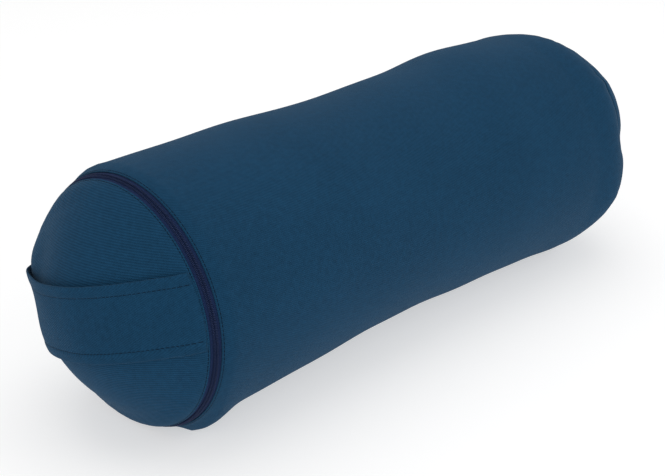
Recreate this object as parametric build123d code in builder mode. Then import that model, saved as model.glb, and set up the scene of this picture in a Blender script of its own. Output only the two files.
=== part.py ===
from build123d import *
import os
from dataclasses import dataclass
from math import asin, atan2, cos, degrees, exp, hypot, radians, sin

# A round bolster pillow. It lies along X, with its handle and zip at the -X end.
# Z is up, and z = 0 is the surface that it lies on. All sizes are in millimetres.

# Outline of the cover
AXIS_HEIGHT = 110.0  # the bolster's own axis above the surface
NEAR_SEAM_X = -265.0
FAR_SEAM_X = 279.0
NEAR_DOME = 53.6  # how far each end bulges past its edge
FAR_DOME = 55.0
FAR_DOME_POWER = 0.58  # below 1, a squarer dome than a parabola
ZIP_RADIUS = 105.5
FAR_RIM_RADIUS = 107.0
NEAR_CREST = (-248.5, 112.2)  # (x, radius) where the body is fullest behind the zip
WAIST = (-0.5, 106.5)
FAR_CREST = (230.0, 112.6)
SEAM_GAP = 0.1
FAR_RIM = (FAR_SEAM_X - SEAM_GAP, FAR_RIM_RADIUS, -45)  # x, radius and heading in degrees
FAR_DOME_SLOPE = 15.0
NEAR_DOME_RADII = (0, 50, 88)  # where each dome's outline has a knot
FAR_DOME_RADII = (88, 55, 0)

# Cloth
TWILL = 1.0
BAG_CLOTH = 0.6
BAG_INSET = 1.5  # the inner bag's outside, in from the cover's outside
FILL_INSET = 2.6
THREAD = 0.4  # half the width of a row of stitches
THREAD_CLEAR = 0.12
THREAD_HIGH = 0.3
FAR_THREAD_OUT = 0.6  # the far seam's stitching, outside its rim
SEAM_END = 1.6  # the lengthwise stitching stops this far before the far seam

# Zips, the same section for the outer one and the inner bag's
ZIP_TILT = 22.0  # the outer zip's band leans with the rounded edge
BAND_HALF = 5.0  # half of the width that shows between the hems
TAPE_HALF = 8.5
BAG_TAPE_HALF = 8.0
TAPE = 0.6
COIL_IN = 0.6
COIL_OUT = 2.3
COIL_TOP = 1.9
HEM_TOP = 1.4  # the hem's outside above the middle of the tape
HEM_LENGTH = 3.0

STOP_TOP = 2.1
STOP_GAP = 0.2  # degrees
HEM_STITCH = 1.5  # from the hem's edge
TAB_HALF = 8.0
TAB_GAP = 0.4  # degrees

# Slider and pull, with distances out from the middle of the tape
SLIDER_LONG = 9.0
SLIDER_HALF = 4.2
SLIDER_CORNER = 1.2
LOWER_PLATE = -1.9
UPPER_PLATE = 2.3
PLATE = 1.0
FLANGE = 1.3
FLANGE_BOTTOM = 0.6
NECK = 0.8
NECK_LONG = 3.0
NECK_CLEAR = 0.5
PIVOT_OUT = 4.2
ARCH = 2.4
ARCH_HALF = 3.2
ARCH_WINDOW = 1.4
ARCH_CLEAR = 0.9
ARCH_WALL = 0.8
ARCH_LEAN = 1.0
ARCH_CORNER = 0.8
PULL_LONG = 22.0
BAG_PULL_LONG = 14.0
PULL_WIDE = 7.0
PULL_THICK = 1.2
PULL_CORNER = 0.5
PULL_WINDOW = 3.9
PULL_GAP = 3.2
PULL_HOLE = 1.3
PULL_HOLE_IN = 3.2

# Angles round the bolster: 0 at the top, growing towards -Y, in degrees
ZIP_START = -88.0
ZIP_END = 218.0
SLIDER_ANGLE = -85.0
STOP_ANGLE = 1.8
TAPE_TAIL = 5.0
LENGTH_SEAM_ANGLE = 215.0
LENGTH_SEAM_ARC = 0.4

# Inner bag: its near disc is part of a ball
BALL_CENTRE_X = -193.9
BAG_ZIP_RADIUS = 121.0
BAG_DISC_INSIDE = 0.7  # the disc's inside above the middle of its zip's tape
BAG_DISC_TURN = 84.0  # radius where the ball ends
BAG_RIM = (-263.0, 100.7, 40)  # before its inset
BAG_SHOULDER = (-233.0, 112.0, -0.5)
BAG_ZIP_HALF = 30.0
BAG_SLIDER_ANGLE = -27.0
BAG_SLOT_HALF = 65.0
FILL_UNDER_ZIP = 3.5

# Care label, between the cover's near end and the bag
LABEL_ANGLE = 240.0
LABEL_X = -292.0
LABEL_RADIUS = 77.0
LABEL_TILT = 52.0
LABEL_WIDE = 24.0
LABEL_LONG = 36.0
LABEL_THICK = 0.3

# Handle: a strap across the near end, turned a little about the bolster's axis
STRAP_ROLL = 15.0
STRAP_HALF = 31.5
STRAP_RISE = 3.0
STRAP_THICK = 2.0
STRAP_END_RADIUS = 104.2
STRAP_TURN_RADIUS = 88.0  # beyond this the near end turns over to the zip
STRAP_BULGE = 2.0  # of the strap over that turn
STRAP_STITCH = 9.0  # from each edge
STRAP_CLEAR = 0.5
STRAP_STEPS = 4  # of each section, across the strap
STRAP_REACH = 200.0  # beyond the strap, both ways along X
STRAP_FOLLOW = 0.6  # at its middle the strap is this much as round as the end, across it
STRAP_SLACK = 8.0  # how far the looser half stands off
SLACK_AT = -30.0
SLACK_SPREAD = 31.0
SLACK_UPWARD = 0.12  # looser at the upper edge

os.makedirs("parts", exist_ok=True)
BOLSTER_AXIS = Axis((0, 0, AXIS_HEIGHT), (1, 0, 0))
BELOW = (800, 300, 20)  # a block that is larger than what lies too low
MERIDIAN = Plane(origin=(0, 0, AXIS_HEIGHT), x_dir=(1, 0, 0), z_dir=(0, -1, 0))


def finish(piece, name):
    piece.part.label = name
    export_step(piece.part, f"parts/{name}.step")


# ---------------------------------------------------------------- outlines, as (x, radius)


def band_knot(across, out=HEM_TOP):
    """A place near the outer zip, from its centre line. A knot is x, radius and heading."""
    lean = radians(ZIP_TILT)
    x = NEAR_SEAM_X + across * cos(lean) - out * sin(lean)
    return (x, ZIP_RADIUS + across * sin(lean) + out * cos(lean), ZIP_TILT)


def dome_knot(side, base, height, power, radius):
    """A place on a dome that rises from its base, which is (x, radius)."""
    left = 1 - (radius / base[1]) ** 2
    rise = height * power * left ** (power - 1) * 2 * radius / base[1] ** 2
    return (base[0] + side * height * left**power, radius, -side * degrees(atan2(1, rise)))


def near_dome_x(radius):
    return dome_knot(-1, band_knot(-BAND_HALF - HEM_LENGTH), NEAR_DOME, 1, radius)[0]


def cover_body():
    middle = [NEAR_CREST + (0,), WAIST + (0,), FAR_CREST + (0,)]
    return [band_knot(BAND_HALF), band_knot(BAND_HALF + HEM_LENGTH)] + middle + [FAR_RIM]


def near_dome():
    base = band_knot(-BAND_HALF - HEM_LENGTH)
    round_part = [dome_knot(-1, base, NEAR_DOME, 1, radius) for radius in NEAR_DOME_RADII]
    return round_part + [base, band_knot(-BAND_HALF)]


def far_dome():
    base = (FAR_SEAM_X, FAR_RIM_RADIUS)
    rim = (FAR_SEAM_X + TWILL / 2, FAR_RIM_RADIUS, -FAR_DOME_SLOPE)
    return [rim] + [dome_knot(1, base, FAR_DOME, FAR_DOME_POWER, radius) for radius in FAR_DOME_RADII]


def bag_body():
    return [BAG_RIM, BAG_SHOULDER, WAIST + (0,), FAR_CREST + (0,), FAR_RIM]


def moved_in(knot, inset):
    x, radius, heading = knot
    return (x + inset * sin(radians(heading)), radius - inset * cos(radians(heading)))


def outline(knots, inset):
    """Smooth curves through the knots, moved in along their normals."""
    curves = []
    for one, two in zip(knots, knots[1:]):
        start = Vector(moved_in(one, inset))
        end = Vector(moved_in(two, inset))
        reach = (end - start).length / 3
        leave = start + Vector(reach, 0).rotate(Axis.Z, one[2])
        arrive = end - Vector(reach, 0).rotate(Axis.Z, two[2])
        curves.append(Bezier(start, leave, arrive, end))
    return curves


def ball_outline(radius, rim):
    """The inner bag's near disc, from the bolster's axis to its rim, mostly part of a ball."""
    turn = asin(BAG_DISC_TURN / radius)
    middle = (BALL_CENTRE_X - radius * cos(turn / 2), radius * sin(turn / 2))
    end = (BALL_CENTRE_X - radius * cos(turn), BAG_DISC_TURN)
    ball = ThreePointArc((BALL_CENTRE_X - radius, 0), middle, end)
    return [ball, Line(ball @ 1, rim)]


# ---------------------------------------------------------------- cover


def lying_solid(knots, inset, past=0):
    """The round solid inside an outline, run past both its ends, and flat where it lies."""
    with BuildPart() as solid:
        for pair in zip(knots, knots[1:]):
            with BuildSketch(MERIDIAN):
                with BuildLine():
                    curve = outline(pair, inset)[0]
                    start = curve @ 0
                    end = curve @ 1
                    Polyline(end, (end.X, 0), (start.X, 0), start)
                make_face()
            revolve(axis=BOLSTER_AXIS)
        if past:
            for knot, side in ((knots[0], -1), (knots[-1], 1)):
                x, radius = moved_in(knot, inset)
                with BuildSketch(Plane.YZ.offset(x)):
                    with Locations((0, AXIS_HEIGHT)):
                        Circle(radius)
                extrude(amount=side * past)
        with Locations((0, 0, inset)):
            Box(*BELOW, align=(Align.CENTER, Align.CENTER, Align.MAX), mode=Mode.SUBTRACT)
    return solid


def lying_tube(knots, inset, cloth):
    with BuildPart() as tube:
        add(lying_solid(knots, inset).part)
        add(lying_solid(knots, inset + cloth, 2 * TWILL).part, mode=Mode.SUBTRACT)
    return tube


def cloth_dome(knots, inset, cloth):
    """A closed end of cloth."""
    with BuildPart() as dome:
        with BuildSketch(MERIDIAN):
            with BuildLine():
                outside = outline(knots, inset)
                inside = outline(knots, inset + cloth)
                Line(outside[0] @ 0, inside[0] @ 0)
                Line(outside[-1] @ 1, inside[-1] @ 1)
            make_face()
        revolve(axis=BOLSTER_AXIS)
    return dome


cover_body_panel = lying_tube(cover_body(), 0, TWILL)
finish(cover_body_panel, "cover_body_panel")

cover_handle_end_panel = cloth_dome(near_dome(), 0, TWILL)
finish(cover_handle_end_panel, "cover_handle_end_panel")

cover_far_end_panel = cloth_dome(far_dome(), 0, TWILL)
finish(cover_far_end_panel, "cover_far_end_panel")


# ---------------------------------------------------------------- carry handle


def strap_floor(along, across):
    """How far out the strap's inner side is, at a place on the near end."""
    follow = STRAP_FOLLOW + (1 - STRAP_FOLLOW) * (along / ZIP_RADIUS) ** 2
    radius = hypot(along, follow * across)
    share = (radius - STRAP_TURN_RADIUS) / (STRAP_END_RADIUS - STRAP_TURN_RADIUS)
    if share < 0:
        x = near_dome_x(radius)
    else:
        turn_x = near_dome_x(STRAP_TURN_RADIUS)
        edge_x = band_knot(-BAND_HALF - HEM_LENGTH)[0]
        x = turn_x + (edge_x - turn_x) * share - 4 * STRAP_BULGE * share * (1 - share)
    slack = STRAP_SLACK * exp(-(((along - SLACK_AT) / SLACK_SPREAD) ** 2))
    slack *= 1 + SLACK_UPWARD * across / STRAP_HALF
    return x - STRAP_CLEAR - slack


def strap_band(low, high, lift, thick):
    """A band that follows the strap, between two distances across it."""
    roll = radians(STRAP_ROLL)
    along_dir = Vector(0, -cos(roll), sin(roll))
    stations = (-110, -97, -82, -64, -44, -22, 0, 25, 50, 75, 95, 110)
    with BuildPart() as band:
        for along in stations:
            middle = Vector(0, 0, AXIS_HEIGHT) + along_dir * along
            with BuildSketch(Plane(origin=middle, x_dir=(1, 0, 0), z_dir=along_dir)):
                with BuildLine():
                    parts = range(STRAP_STEPS + 1)
                    steps = [low + (high - low) * part / STRAP_STEPS for part in parts]
                    inner = [(strap_floor(along, step) - lift, step) for step in steps]
                    outer = [(x - thick, across) for x, across in inner]
                    Spline(*inner)
                    Spline(*outer)
                    Line(inner[0], outer[0])
                    Line(inner[-1], outer[-1])
                make_face()
        loft()
        with BuildSketch(Plane.YZ.offset(NEAR_SEAM_X - STRAP_REACH)):
            with Locations((0, AXIS_HEIGHT)):
                Circle(STRAP_END_RADIUS)
        extrude(amount=2 * STRAP_REACH, mode=Mode.INTERSECT)
    return band


carry_handle = strap_band(STRAP_RISE - STRAP_HALF, STRAP_RISE + STRAP_HALF, 0, STRAP_THICK)
finish(carry_handle, "carry_handle")

for name, side in (("handle_stitching_upper", 1), ("handle_stitching_lower", -1)):
    row = STRAP_RISE + side * (STRAP_HALF - STRAP_STITCH)
    stitching = strap_band(row - THREAD, row + THREAD, STRAP_THICK + THREAD_CLEAR, THREAD_HIGH)
    finish(stitching, name)


# ---------------------------------------------------------------- zips


@dataclass
class Track:
    """A zip's line, an arc about an axis. Its band may lean towards the axis's own direction."""

    axis: Axis
    radial: Vector  # from the axis towards the place at angle 0
    radius: float
    tilt: float

    def place(self, angle):
        radial = self.radial.rotate(Axis((0, 0, 0), self.axis.direction), angle)
        forward = self.axis.direction.cross(radial)
        lean = radians(self.tilt)
        outward = radial * cos(lean) - self.axis.direction * sin(lean)
        return self.axis.position + radial * self.radius, forward, outward

    def section(self, angle):
        """The plane across the zip: x across the band, y out of it."""
        centre, forward, outward = self.place(angle)
        return Plane(origin=centre, x_dir=outward.cross(forward), z_dir=forward)

    def flat(self, angle):
        """The plane of the band: x along the zip, y across it."""
        centre, forward, outward = self.place(angle)
        return Plane(origin=centre, x_dir=forward, z_dir=outward)


def zip_strip(track, angles, across, out):
    """A strip along a zip, with a rectangle for its section."""
    with BuildPart() as strip:
        with BuildSketch(track.section(angles[0])):
            with Locations(((across[0] + across[1]) / 2, (out[0] + out[1]) / 2)):
                Rectangle(abs(across[1] - across[0]), out[1] - out[0])
        revolve(axis=track.axis, revolution_arc=angles[1] - angles[0])
    return strip


def zip_stop(track, angles, halves):
    """The block or blocks that a slider stops against."""
    with BuildPart() as stop:
        for low, high in halves:
            add(zip_strip(track, angles, (low, high), (TAPE / 2 + SEAM_GAP, STOP_TOP)).part)
    return stop


def zip_slider(track, angle):
    """Two plates joined by a neck, with flanges beside the coils and an arch for the pull."""
    flat = track.flat(angle)
    neck_at = NECK_LONG / 2 - SLIDER_LONG / 2 + NECK_CLEAR
    side = Plane(origin=flat.origin, x_dir=flat.x_dir, z_dir=-flat.y_dir)
    with BuildPart() as slider:
        for bottom in (LOWER_PLATE, UPPER_PLATE):
            with BuildSketch(flat.offset(bottom)):
                RectangleRounded(SLIDER_LONG, 2 * SLIDER_HALF, SLIDER_CORNER)
            extrude(amount=PLATE)
        with BuildSketch(flat.offset(FLANGE_BOTTOM)):
            with GridLocations(0, 2 * SLIDER_HALF - FLANGE, 1, 2):
                Rectangle(SLIDER_LONG - 2 * SLIDER_CORNER, FLANGE)
        extrude(amount=UPPER_PLATE - FLANGE_BOTTOM)
        with BuildSketch(flat.offset(LOWER_PLATE + PLATE)):
            with Locations((neck_at, 0)):
                Rectangle(NECK_LONG, NECK)
        extrude(amount=UPPER_PLATE - LOWER_PLATE - PLATE)
        with BuildSketch(side):
            with BuildLine():
                foot = UPPER_PLATE + PLATE
                top = PIVOT_OUT + ARCH_CLEAR + ARCH_WALL
                feet = ((-ARCH_HALF, foot), (ARCH_HALF, foot))
                tops = ((ARCH_LEAN - ARCH_HALF, top), (ARCH_HALF - ARCH_LEAN, top))
                FilletPolyline(feet[0], *tops, feet[1], radius=ARCH_CORNER)
                Line(*feet)
            make_face()
            with Locations((0, PIVOT_OUT)):
                Rectangle(2 * ARCH_WINDOW, 2 * ARCH_CLEAR, mode=Mode.SUBTRACT)
        extrude(amount=ARCH / 2, both=True)
    return slider


def zip_pull(track, angle, long):
    """A flat tab whose crossbar sits in the slider's arch, lying back along the zip."""
    flat = track.flat(angle).offset(PIVOT_OUT)
    with BuildPart() as pull:
        with BuildSketch(flat):
            with Locations((PULL_THICK / 2 - long / 2, 0)):
                RectangleRounded(long, PULL_WIDE, PULL_CORNER)
            with Locations((-PULL_THICK / 2 - PULL_WINDOW / 2, 0)):
                Rectangle(PULL_WINDOW, PULL_GAP, mode=Mode.SUBTRACT)
            with Locations((PULL_THICK / 2 + PULL_HOLE_IN - long, 0)):
                Circle(PULL_HOLE, mode=Mode.SUBTRACT)
        extrude(amount=PULL_THICK / 2, both=True)
    return pull


def make_zip(track, start, end, tape_half, prefix, sides):
    """The tapes, coils and stops of a closed zip, with the slider's end at the start."""
    tail = (start - TAPE_TAIL, end + TAPE_TAIL)
    for side, name in ((1, sides[0]), (-1, sides[1])):
        tape = (side * COIL_IN, side * tape_half)
        coil = (side * COIL_IN, side * COIL_OUT)
        tape_strip = zip_strip(track, tail, tape, (-TAPE / 2, TAPE / 2))
        finish(tape_strip, f"{prefix}_tape_{name}")
        coil_strip = zip_strip(track, (start, end), coil, (TAPE / 2 + SEAM_GAP, COIL_TOP))
        finish(coil_strip, f"{prefix}_coil_{name}")
    top = (start - STOP_ANGLE, start - STOP_GAP)
    bottom = (end + STOP_GAP, end + STOP_ANGLE)
    pair = ((COIL_IN, COIL_OUT), (-COIL_OUT, -COIL_IN))
    finish(zip_stop(track, top, pair), f"{prefix}_top_stops")
    finish(zip_stop(track, bottom, ((-COIL_OUT, COIL_OUT),)), f"{prefix}_bottom_stop")


ring = Track(Axis((NEAR_SEAM_X, 0, AXIS_HEIGHT), (1, 0, 0)), Vector(0, 0, 1), ZIP_RADIUS, ZIP_TILT)
make_zip(ring, ZIP_START, ZIP_END, TAPE_HALF, "zip", ("body_side", "end_side"))
finish(zip_slider(ring, SLIDER_ANGLE), "zip_slider")
finish(zip_pull(ring, SLIDER_ANGLE, PULL_LONG), "zip_pull")

tab_angles = (ZIP_END + TAPE_TAIL + TAB_GAP, 360 + ZIP_START - TAPE_TAIL - TAB_GAP)
finish(zip_strip(ring, tab_angles, (-TAB_HALF, TAB_HALF), (TAPE / 2 - TWILL, TAPE / 2)), "zip_end_tab")

for name, side in (("body_side", 1), ("end_side", -1)):
    row = side * (BAND_HALF + HEM_STITCH)
    out = (HEM_TOP + THREAD_CLEAR, HEM_TOP + THREAD_CLEAR + THREAD_HIGH)
    hem_row = zip_strip(ring, (0, 360), (row - THREAD, row + THREAD), out)
    finish(hem_row, "hem_stitching_" + name)


# ---------------------------------------------------------------- other seams and the label

with BuildPart() as far_seam_stitching:
    with BuildSketch(MERIDIAN):
        with Locations((FAR_SEAM_X, FAR_RIM_RADIUS + FAR_THREAD_OUT)):
            Circle(THREAD)
    revolve(axis=BOLSTER_AXIS)
finish(far_seam_stitching, "far_seam_stitching")

seam_side = Vector(0, 0, 1).rotate(Axis.X, LENGTH_SEAM_ANGLE)
seam_plane = Plane(origin=(0, 0, AXIS_HEIGHT), x_dir=(1, 0, 0), z_dir=Vector(1, 0, 0).cross(seam_side))
with BuildPart() as lengthwise_stitching:
    with BuildSketch(seam_plane):
        with BuildLine():
            under = outline(cover_body()[1:], -THREAD_CLEAR)
            over = outline(cover_body()[1:], -THREAD_CLEAR - THREAD_HIGH)
            Line(under[0] @ 0, over[0] @ 0)
            Line(under[-1] @ 1, over[-1] @ 1)
        make_face()
    revolve(axis=BOLSTER_AXIS, revolution_arc=LENGTH_SEAM_ARC)
    split(bisect_by=Plane.YZ.offset(FAR_SEAM_X - SEAM_END), keep=Keep.BOTTOM)
finish(lengthwise_stitching, "lengthwise_stitching")

label_track = Track(Axis((LABEL_X, 0, AXIS_HEIGHT), (1, 0, 0)), Vector(0, 0, 1), LABEL_RADIUS, LABEL_TILT)
with BuildPart() as care_label:
    with BuildSketch(label_track.flat(LABEL_ANGLE)):
        Rectangle(LABEL_WIDE, LABEL_LONG)
    extrude(amount=LABEL_THICK)
finish(care_label, "care_label")


# ---------------------------------------------------------------- inner bag and filling

inner_bag_tube = lying_tube(bag_body(), BAG_INSET, BAG_CLOTH)
finish(inner_bag_tube, "inner_bag_tube")

inner_bag_far_disc = cloth_dome(far_dome(), BAG_INSET, BAG_CLOTH)
finish(inner_bag_far_disc, "inner_bag_far_disc")

with BuildPart() as near_disc:
    with BuildSketch(MERIDIAN):
        with BuildLine():
            rims = [moved_in(BAG_RIM, inset) for inset in (BAG_INSET, BAG_INSET + BAG_CLOTH)]
            balls = [BAG_ZIP_RADIUS + BAG_DISC_INSIDE + depth for depth in (BAG_CLOTH, 0)]
            outside = ball_outline(balls[0], (rims[0][0] - 2 * SEAM_GAP, rims[0][1]))
            inside = ball_outline(balls[1], (rims[0][0] - 2 * SEAM_GAP, rims[1][1]))
            Line(outside[0] @ 0, inside[0] @ 0)
            Line(outside[-1] @ 1, inside[-1] @ 1)
        make_face()
    revolve(axis=BOLSTER_AXIS)

for name, keep, side in (("upper", Keep.TOP, 1), ("lower", Keep.BOTTOM, -1)):
    with BuildPart() as half_disc:
        add(near_disc.part)
        split(bisect_by=Plane.XY.offset(AXIS_HEIGHT + side * SEAM_GAP), keep=keep)
        with Locations((BALL_CENTRE_X - BAG_ZIP_RADIUS, 0, AXIS_HEIGHT)):
            Box(BAG_ZIP_RADIUS, 2 * BAG_SLOT_HALF, 2 * BAND_HALF, mode=Mode.SUBTRACT)
    finish(half_disc, "inner_bag_near_disc_" + name)

bag_arc = Track(Axis((BALL_CENTRE_X, 0, AXIS_HEIGHT), (0, 0, -1)), Vector(-1, 0, 0), BAG_ZIP_RADIUS, 0)
make_zip(bag_arc, -BAG_ZIP_HALF, BAG_ZIP_HALF, BAG_TAPE_HALF, "inner_zip", ("lower", "upper"))
finish(zip_slider(bag_arc, BAG_SLIDER_ANGLE), "inner_zip_slider")
finish(zip_pull(bag_arc, BAG_SLIDER_ANGLE, BAG_PULL_LONG), "inner_zip_pull")

with BuildPart() as hull_filling:
    with BuildSketch(MERIDIAN):
        with BuildLine():
            near = ball_outline(BAG_ZIP_RADIUS - FILL_UNDER_ZIP, moved_in(BAG_RIM, FILL_INSET))
            middle = outline(bag_body(), FILL_INSET)
            far = outline(far_dome(), FILL_INSET)
            Line(middle[-1] @ 1, far[0] @ 0)
            Line(near[0] @ 0, far[-1] @ 1)
        make_face()
    revolve(axis=BOLSTER_AXIS)
    with Locations((0, 0, FILL_INSET)):
        Box(*BELOW, align=(Align.CENTER, Align.CENTER, Align.MAX), mode=Mode.SUBTRACT)
finish(hull_filling, "hull_filling")
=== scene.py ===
from dataclasses import dataclass
from math import atan2, ceil, cos, degrees, pi, radians, sin, tan

import bpy
import numpy as np
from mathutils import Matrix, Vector
from mathutils.kdtree import KDTree


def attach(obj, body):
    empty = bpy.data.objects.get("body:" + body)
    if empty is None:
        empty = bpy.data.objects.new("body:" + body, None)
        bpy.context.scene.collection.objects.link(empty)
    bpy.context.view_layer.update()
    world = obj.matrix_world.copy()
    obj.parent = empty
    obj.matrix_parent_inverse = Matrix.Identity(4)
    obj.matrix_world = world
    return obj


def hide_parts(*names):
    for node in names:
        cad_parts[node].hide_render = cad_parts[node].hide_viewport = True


# The looks of a bolster pillow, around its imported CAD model. The bolster lies along X, with its
# handle and zip at the -X end. Sizes are in metres. Angles round it are 0 at the top and grow
# towards -Y. The driving dimensions repeat those of the CAD source.

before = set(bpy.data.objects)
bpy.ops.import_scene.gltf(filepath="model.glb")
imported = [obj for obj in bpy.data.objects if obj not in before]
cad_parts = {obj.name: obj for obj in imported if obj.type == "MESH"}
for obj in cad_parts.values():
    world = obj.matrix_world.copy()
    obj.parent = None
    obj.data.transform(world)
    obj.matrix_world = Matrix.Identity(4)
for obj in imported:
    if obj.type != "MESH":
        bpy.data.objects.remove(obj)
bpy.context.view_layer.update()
CHANCE = np.random.default_rng(7)
MM = 0.001

# Cover
AXIS_HEIGHT = 0.110
AXIS_PLACE = np.array((0, 0, AXIS_HEIGHT))
AXIS_WAY = np.array((1.0, 0, 0))
NEAR_SEAM_X = -0.265
FAR_SEAM_X = 0.279
NEAR_DOME = 0.0536
FAR_DOME = 0.055
FAR_DOME_POWER = 0.58
ZIP_RADIUS = 0.1055
FAR_RIM_RADIUS = 0.107
NEAR_CREST = (-0.2485, 0.1122)
WAIST = (-0.0005, 0.1065)
FAR_CREST = (0.230, 0.1126)
FAR_RIM = (0.2789, 0.107, -45.0)
FAR_DOME_SLOPE = 15.0
NEAR_DOME_RADII = (0.0005, 0.050, 0.088)
FAR_DOME_RADII = (0.088, 0.055, 0.0005)
TWILL = 0.001
LENGTH_SEAM_ANGLE = 215.0

# Zips
ZIP_TILT = 22.0
BAND_HALF = 0.005
HEM_TOP = 0.0014
HEM_LENGTH = 0.003
HEM_STITCH = 0.0015
TAPE = 0.0006
TAPE_HALF = 0.0085
BAG_TAPE_HALF = 0.008
TAPE_TAIL = 5.0
COIL_IN = 0.0006
TAPE_MEET = 0.00005
COIL_OUT = 0.0023
COIL_TOP = 0.0019
STOP_TOP = 0.0021
ZIP_START = -88.0
ZIP_END = 218.0
STOP_ANGLE = 1.8
STOP_GAP = 0.2
TAB_HALF = 0.008
TAB_GAP = 0.4

# Inner bag, filling and label
BAG_INSET = 0.0015
BAG_CLOTH = 0.0006
BALL_CENTRE_X = -0.1939
BAG_ZIP_RADIUS = 0.121
BAG_DISC_INSIDE = 0.0007
BAG_DISC_TURN = 0.084
BAG_RIM = (-0.263, 0.1007, 40.0)
BAG_SHOULDER = (-0.233, 0.112, -0.5)
BAG_ZIP_HALF = 30.0
BAG_SLOT_HALF = 0.065
FILL_INSET = 0.0026
FILL_UNDER_ZIP = 0.0035
LABEL_ANGLE = 240.0
LABEL_X = -0.292
LABEL_RADIUS = 0.077
LABEL_TILT = 52.0
LABEL_WIDE = 0.024
LABEL_LONG = 0.036
LABEL_THICK = 0.0003
LABEL_CURL = 0.0004

# Handle. Its looser half hugs the end more closely than the CAD solid does.
STRAP_ROLL = 15.0
STRAP_HALF = 0.0315
STRAP_RISE = 0.003
STRAP_THICK = 0.002
STRAP_END_RADIUS = 0.1042
STRAP_TURN_RADIUS = 0.088
STRAP_BULGE = 0.002
STRAP_STITCH = 0.009
STRAP_CLEAR = 0.0005
STRAP_FOLLOW = 0.6
STRAP_SLACK = 0.0014
SLACK_AT = -0.050
SLACK_SPREAD = 0.028
SLACK_UPWARD = 0.9
STRAP_TIP_RADIUS = 0.1047

# How the stuffing has settled. Each dent or bulge has its distance along the cover
# from the middle of the handle end, its angle, its half-widths both ways, and how far it stands out.
SETTLED = (
    (0.096, 185.0, 0.024, 24.0, -0.0022),
    (0.092, 284.0, 0.022, 18.0, 0.0074),
    (0.056, 240.0, 0.020, 20.0, 0.0016),
    (0.136, 326.0, 0.010, 14.0, 0.0024),
    (0.150, 148.0, 0.020, 24.0, 0.0068),
    (0.300, 335.0, 0.075, 45.0, 0.0044),
    (0.370, 141.0, 0.080, 24.0, -0.0018),
    (0.430, 335.0, 0.060, 45.0, 0.0038),
    (0.545, 335.0, 0.055, 45.0, 0.0050),
    (0.625, 141.0, 0.035, 20.0, 0.0046),
    (0.662, 346.0, 0.024, 22.0, -0.0034),
    (0.676, 110.0, 0.028, 18.0, 0.0060),
    (0.696, 82.0, 0.018, 8.0, -0.0036),
    (0.686, 50.0, 0.026, 15.0, 0.0030),
)

# Softer lumps: each has a typical length, a range of numbers to the turn, and a height.
BROAD_LUMPS = (0.30, 1, 4)
FINE_LUMPS = (0.09, 2, 7)
BROAD_HEIGHT = 0.0011
FINE_HEIGHT = 0.00045
PUCKER_REACH = (0.011, 0.016)  # from the far seam and from the zip
FAR_PUCKERS = (0.0011, 0.0006)  # the tight ones and the wide ones
ZIP_PUCKERS = 0.0005
CLEAR_OF_ZIP = (0.009, 0.020)  # lumps fade in over this stretch
CLEAR_OF_POLE = (0.0, 0.045)
CLEAR_OF_FLOOR = (0.0015, 0.010)
FLAT_DEPTH = 0.030  # how high above it the surface underneath is felt
FLAT_SOFT = 0.0004

# The cloth simulation
SIM_INSET = 0.004
SIM_ROWS = 110
SIM_VOXEL = 0.006
SIM_HOLD = 0.008
SIM_FRAMES = 20
SIM_CAP = 0.010
SIM_START = (0.003, 0.002)  # heights of the broad and fine lumps that it starts from
SIM_SHARE = 0.002
SIM_NEAREST = 5

# Cloth details
GROOVE_DEEP = 0.00032
GROOVE_WIDE = 0.0005
FOLD_HIGH = 0.00022
FOLD_FADE = 0.0012
STRAP_GROOVE = 0.0005
STRAP_GROOVE_WIDE = 0.0006
STRAP_HEM_HIGH = 0.0004
STRAP_HEM_FADE = 0.0015
STRAP_CROWN = 0.0003
CORD_PLACES = (0.0031, 0.0042)
CORD_HIGH = 0.0001
CORD_WIDE = 0.0003
SELVEDGE = 0.001
SEAM_START = 0.004
SEAM_END = 0.002
FAR_STITCH_OUT = (0.6, 0.8)  # (x, radial), between the outward directions on both sides of the seam


# ---------------------------------------------------------------- outlines, as (x, radius)


def band_knot(across, out=HEM_TOP):
    """A place near the outer zip, from its centre line: x, radius and heading."""
    lean = radians(ZIP_TILT)
    x = NEAR_SEAM_X + across * cos(lean) - out * sin(lean)
    return (x, ZIP_RADIUS + across * sin(lean) + out * cos(lean), ZIP_TILT)


NEAR_BASE = band_knot(-BAND_HALF - HEM_LENGTH)


def dome_knot(side, base, height, power, radius):
    """A place on a dome that rises from its base, which is (x, radius)."""
    left = 1 - (radius / base[1]) ** 2
    rise = height * power * left ** (power - 1) * 2 * radius / base[1] ** 2
    return (base[0] + side * height * left**power, radius, -side * degrees(atan2(1, rise)))


def cover_body():
    middle = [NEAR_CREST + (0,), WAIST + (0,), FAR_CREST + (0,)]
    return [band_knot(BAND_HALF), band_knot(BAND_HALF + HEM_LENGTH)] + middle + [FAR_RIM]


def near_dome():
    knots = [dome_knot(-1, NEAR_BASE, NEAR_DOME, 1, radius) for radius in NEAR_DOME_RADII]
    return knots + [NEAR_BASE, band_knot(-BAND_HALF)]


def far_dome():
    base = (FAR_SEAM_X, FAR_RIM_RADIUS)
    knots = [dome_knot(1, base, FAR_DOME, FAR_DOME_POWER, radius) for radius in FAR_DOME_RADII]
    return [(FAR_SEAM_X + TWILL / 2, FAR_RIM_RADIUS, -FAR_DOME_SLOPE)] + knots


def bag_body():
    return [BAG_RIM, BAG_SHOULDER, WAIST + (0,), FAR_CREST + (0,), FAR_RIM]


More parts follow.
